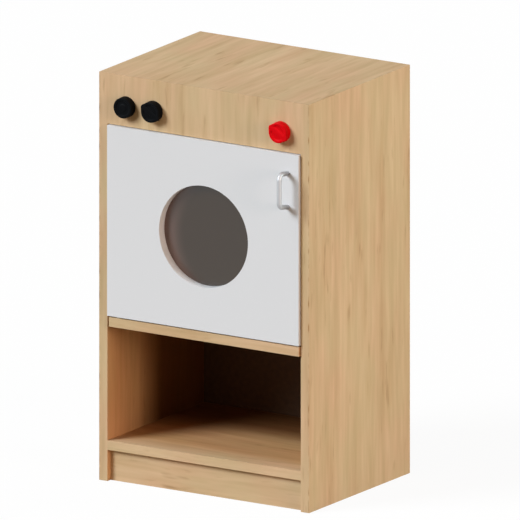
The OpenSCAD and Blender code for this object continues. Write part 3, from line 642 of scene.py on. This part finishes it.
def makeHandle(s):
    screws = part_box("handle_screws")
    middleX = (screws[0][0] + screws[1][0]) / 2
    middleZ = (screws[0][2] + screws[1][2]) / 2
    radius = s["rod"] / 2
    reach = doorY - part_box("door_handle")[0][1] - radius
    route = handleRoute(s, reach)
    rings = []
    for i, point in enumerate(route):
        along = (route[min(i + 1, len(route) - 1)] - route[max(i - 1, 0)]).normalized()
        across = Vector((-along.y, along.x))
        ring = []
        for k in range(s["roundSteps"]):
            turn = 2 * math.pi * k / s["roundSteps"]
            spot = point + across * radius * math.sin(turn)
            if i in (0, len(route) - 1):        # a foot lies flat on the door
                spot -= along * spot.x / along.x
            ring.append((middleX + radius * math.cos(turn), doorY - spot.x, middleZ + spot.y))
        rings.append(ring)
    standFor(skinRings("bowHandle", rings), "door_handle", "door", satinRod)


makeHandle(handleSettings)
print("handle made")


# Knobs: moulded, with a rounded rim round a dished face. The plain one has a low boss in its dish,
# and the others a crowned grip bar across it, whose ends run out past the rim in blunt noses that
# die away into the wall below.
knobSettings = {
    "lift": 0.5 * mm,       # gap to the fascia
    "taper": 0.5 * mm,      # how much narrower the wall is at the top
    "edge": 1.6 * mm,       # radius of the rounded rim
    "foot": 0.3 * mm,       # rounding of the base's edge
    "mouth": 15.2 * mm,     # radius of the dish
    "dishDepth": 2 * mm,
    "dishSlope": 1.8 * mm,  # width of the dish's soft wall
    "bossRadius": 8 * mm,
    "bossSink": 1 * mm,     # how far the boss stays below the rim
    "gripLength": 45.6 * mm,
    "gripWidth": 10 * mm,
    "gripCrown": 0.35 * mm,     # how far the bar's top falls from its middle to its edges
    "flankFoot": 1.1,       # the foot of the bar's flanks, in halves of its width
    "flankWidth": 0.2,      # in the same measure
    "tilt": 30,             # degrees of the bar, left end up
    "noseBlunt": 0.9 * mm,  # how much is off the tips, where the flanks would meet
    "noseSink": 0.4 * mm,   # how far inside the wall the flanks start
    "noseDrop": 8 * mm,     # from the rim down to where the noses have died away
    "spindle": 3.05 * mm,   # radius of the hole for the spindle
    "holeCover": 3 * mm,    # what is left between that hole and the dish
    "middle": 0.2 * mm,     # radius of the last ring, in the middle of the face
    "roundSteps": 192,
    "smoothSteps": 4,       # the outline is smoothed over this many steps to each side
    "wallSteps": 8,
    "rimSteps": 6,
    "faceSteps": 34,
}


def softStep(value):
    t = min(max(value, 0.0), 1.0)
    return t * t * (3 - 2 * t)


def noseReach(s, radius, turn):
    # How far the straight flanks of the noses stand from the axis, at this turn from the bar
    fold = abs((turn + math.pi / 2) % math.pi - math.pi / 2)
    flank = radius - s["noseSink"]
    spread = math.acos(flank / (s["gripLength"] / 2 + s["noseBlunt"]))
    if fold > spread:
        return 0
    return min(flank / math.cos(spread - fold), s["gripLength"] / 2)


def knobOutline(s, radius, grip):
    steps = s["roundSteps"]
    tilt = math.radians(s["tilt"])
    turns = [2 * math.pi * k / steps for k in range(steps)]
    if not grip:
        return turns, [radius] * steps
    sharp = [max(radius, noseReach(s, radius, turn + tilt)) for turn in turns]
    near = range(-s["smoothSteps"], s["smoothSteps"] + 1)
    return turns, [sum(sharp[(k + j) % steps] for j in near) / len(near) for k in range(steps)]


def faceHeight(s, height, grip, x, z):
    out = math.hypot(x, z)
    dish = s["dishDepth"] * softStep((s["mouth"] - out) / s["dishSlope"])
    if grip:
        tilt = math.radians(s["tilt"])
        off = abs(x * math.sin(tilt) + z * math.cos(tilt)) / (s["gripWidth"] / 2)
        bar = softStep((s["flankFoot"] - off) / s["flankWidth"])
        return height - dish * (1 - bar) - s["gripCrown"] * min(off, 1) ** 2 * bar
    boss = softStep((s["bossRadius"] - out) / s["dishSlope"])
    return height - dish + (s["dishDepth"] - s["bossSink"]) * boss


def knobRings(s, radius, height, grip):
    # Each ring is a list of (x, z, height), from the spindle's hole round the rim to the middle
    turns, outline = knobOutline(s, radius, grip)

    def ring(reachAt, heightAt=None, nose=1.0):
        points = []
        for turn, full in zip(turns, outline):
            reach = reachAt(radius + (full - radius) * nose)
            x = reach * math.cos(turn)
            z = reach * math.sin(turn)
            onFace = heightAt is None
            points.append((x, z, faceHeight(s, height, grip, x, z) if onFace else heightAt))
        return points

    rings = [ring(lambda out: s["spindle"], height - s["dishDepth"] - s["holeCover"]),
             ring(lambda out: s["spindle"], s["lift"]),
             ring(lambda out: out - s["foot"], s["lift"], 0),
             ring(lambda out: out, s["lift"] + s["foot"], 0)]
    for i in range(s["wallSteps"]):
        share = i / s["wallSteps"]
        inset = s["taper"] * share
        wallHeight = height - s["edge"] - s["noseDrop"] * (1 - share)
        rings.append(ring(lambda out: out - inset, wallHeight, softStep(share)))
    for i in range(s["rimSteps"]):
        turn = math.pi / 2 * i / s["rimSteps"]
        inset = s["taper"] + s["edge"] * (1 - math.cos(turn))
        rings.append(ring(lambda out: out - inset, height - s["edge"] * (1 - math.sin(turn))))
    for i in range(s["faceSteps"]):
        share = i / s["faceSteps"]
        rings.append(ring(lambda out: (out - s["taper"] - s["edge"]) * (1 - share)))
    rings.append(ring(lambda out: s["middle"]))
    return rings


def makeKnob(name, s, grip, material):
    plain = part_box("knob_left")
    radius = (plain[1][0] - plain[0][0]) / 2
    low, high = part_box("knob_" + name)
    middleX = (low[0] + high[0]) / 2
    middleZ = (low[2] + high[2]) / 2
    rings = [[(middleX + x, frontY - h, middleZ + z) for x, z, h in ring]
             for ring in knobRings(s, radius, frontY - low[1], grip)]
    piece = skinRings(name + "Knob", rings)
    standFor(piece, "knob_" + name, name + "_knob", material)


makeKnob("left", knobSettings, grip=False, material=blackAbs)
makeKnob("middle", knobSettings, grip=True, material=blackAbs)
makeKnob("right", knobSettings, grip=True, material=redAbs)
print("knobs made")
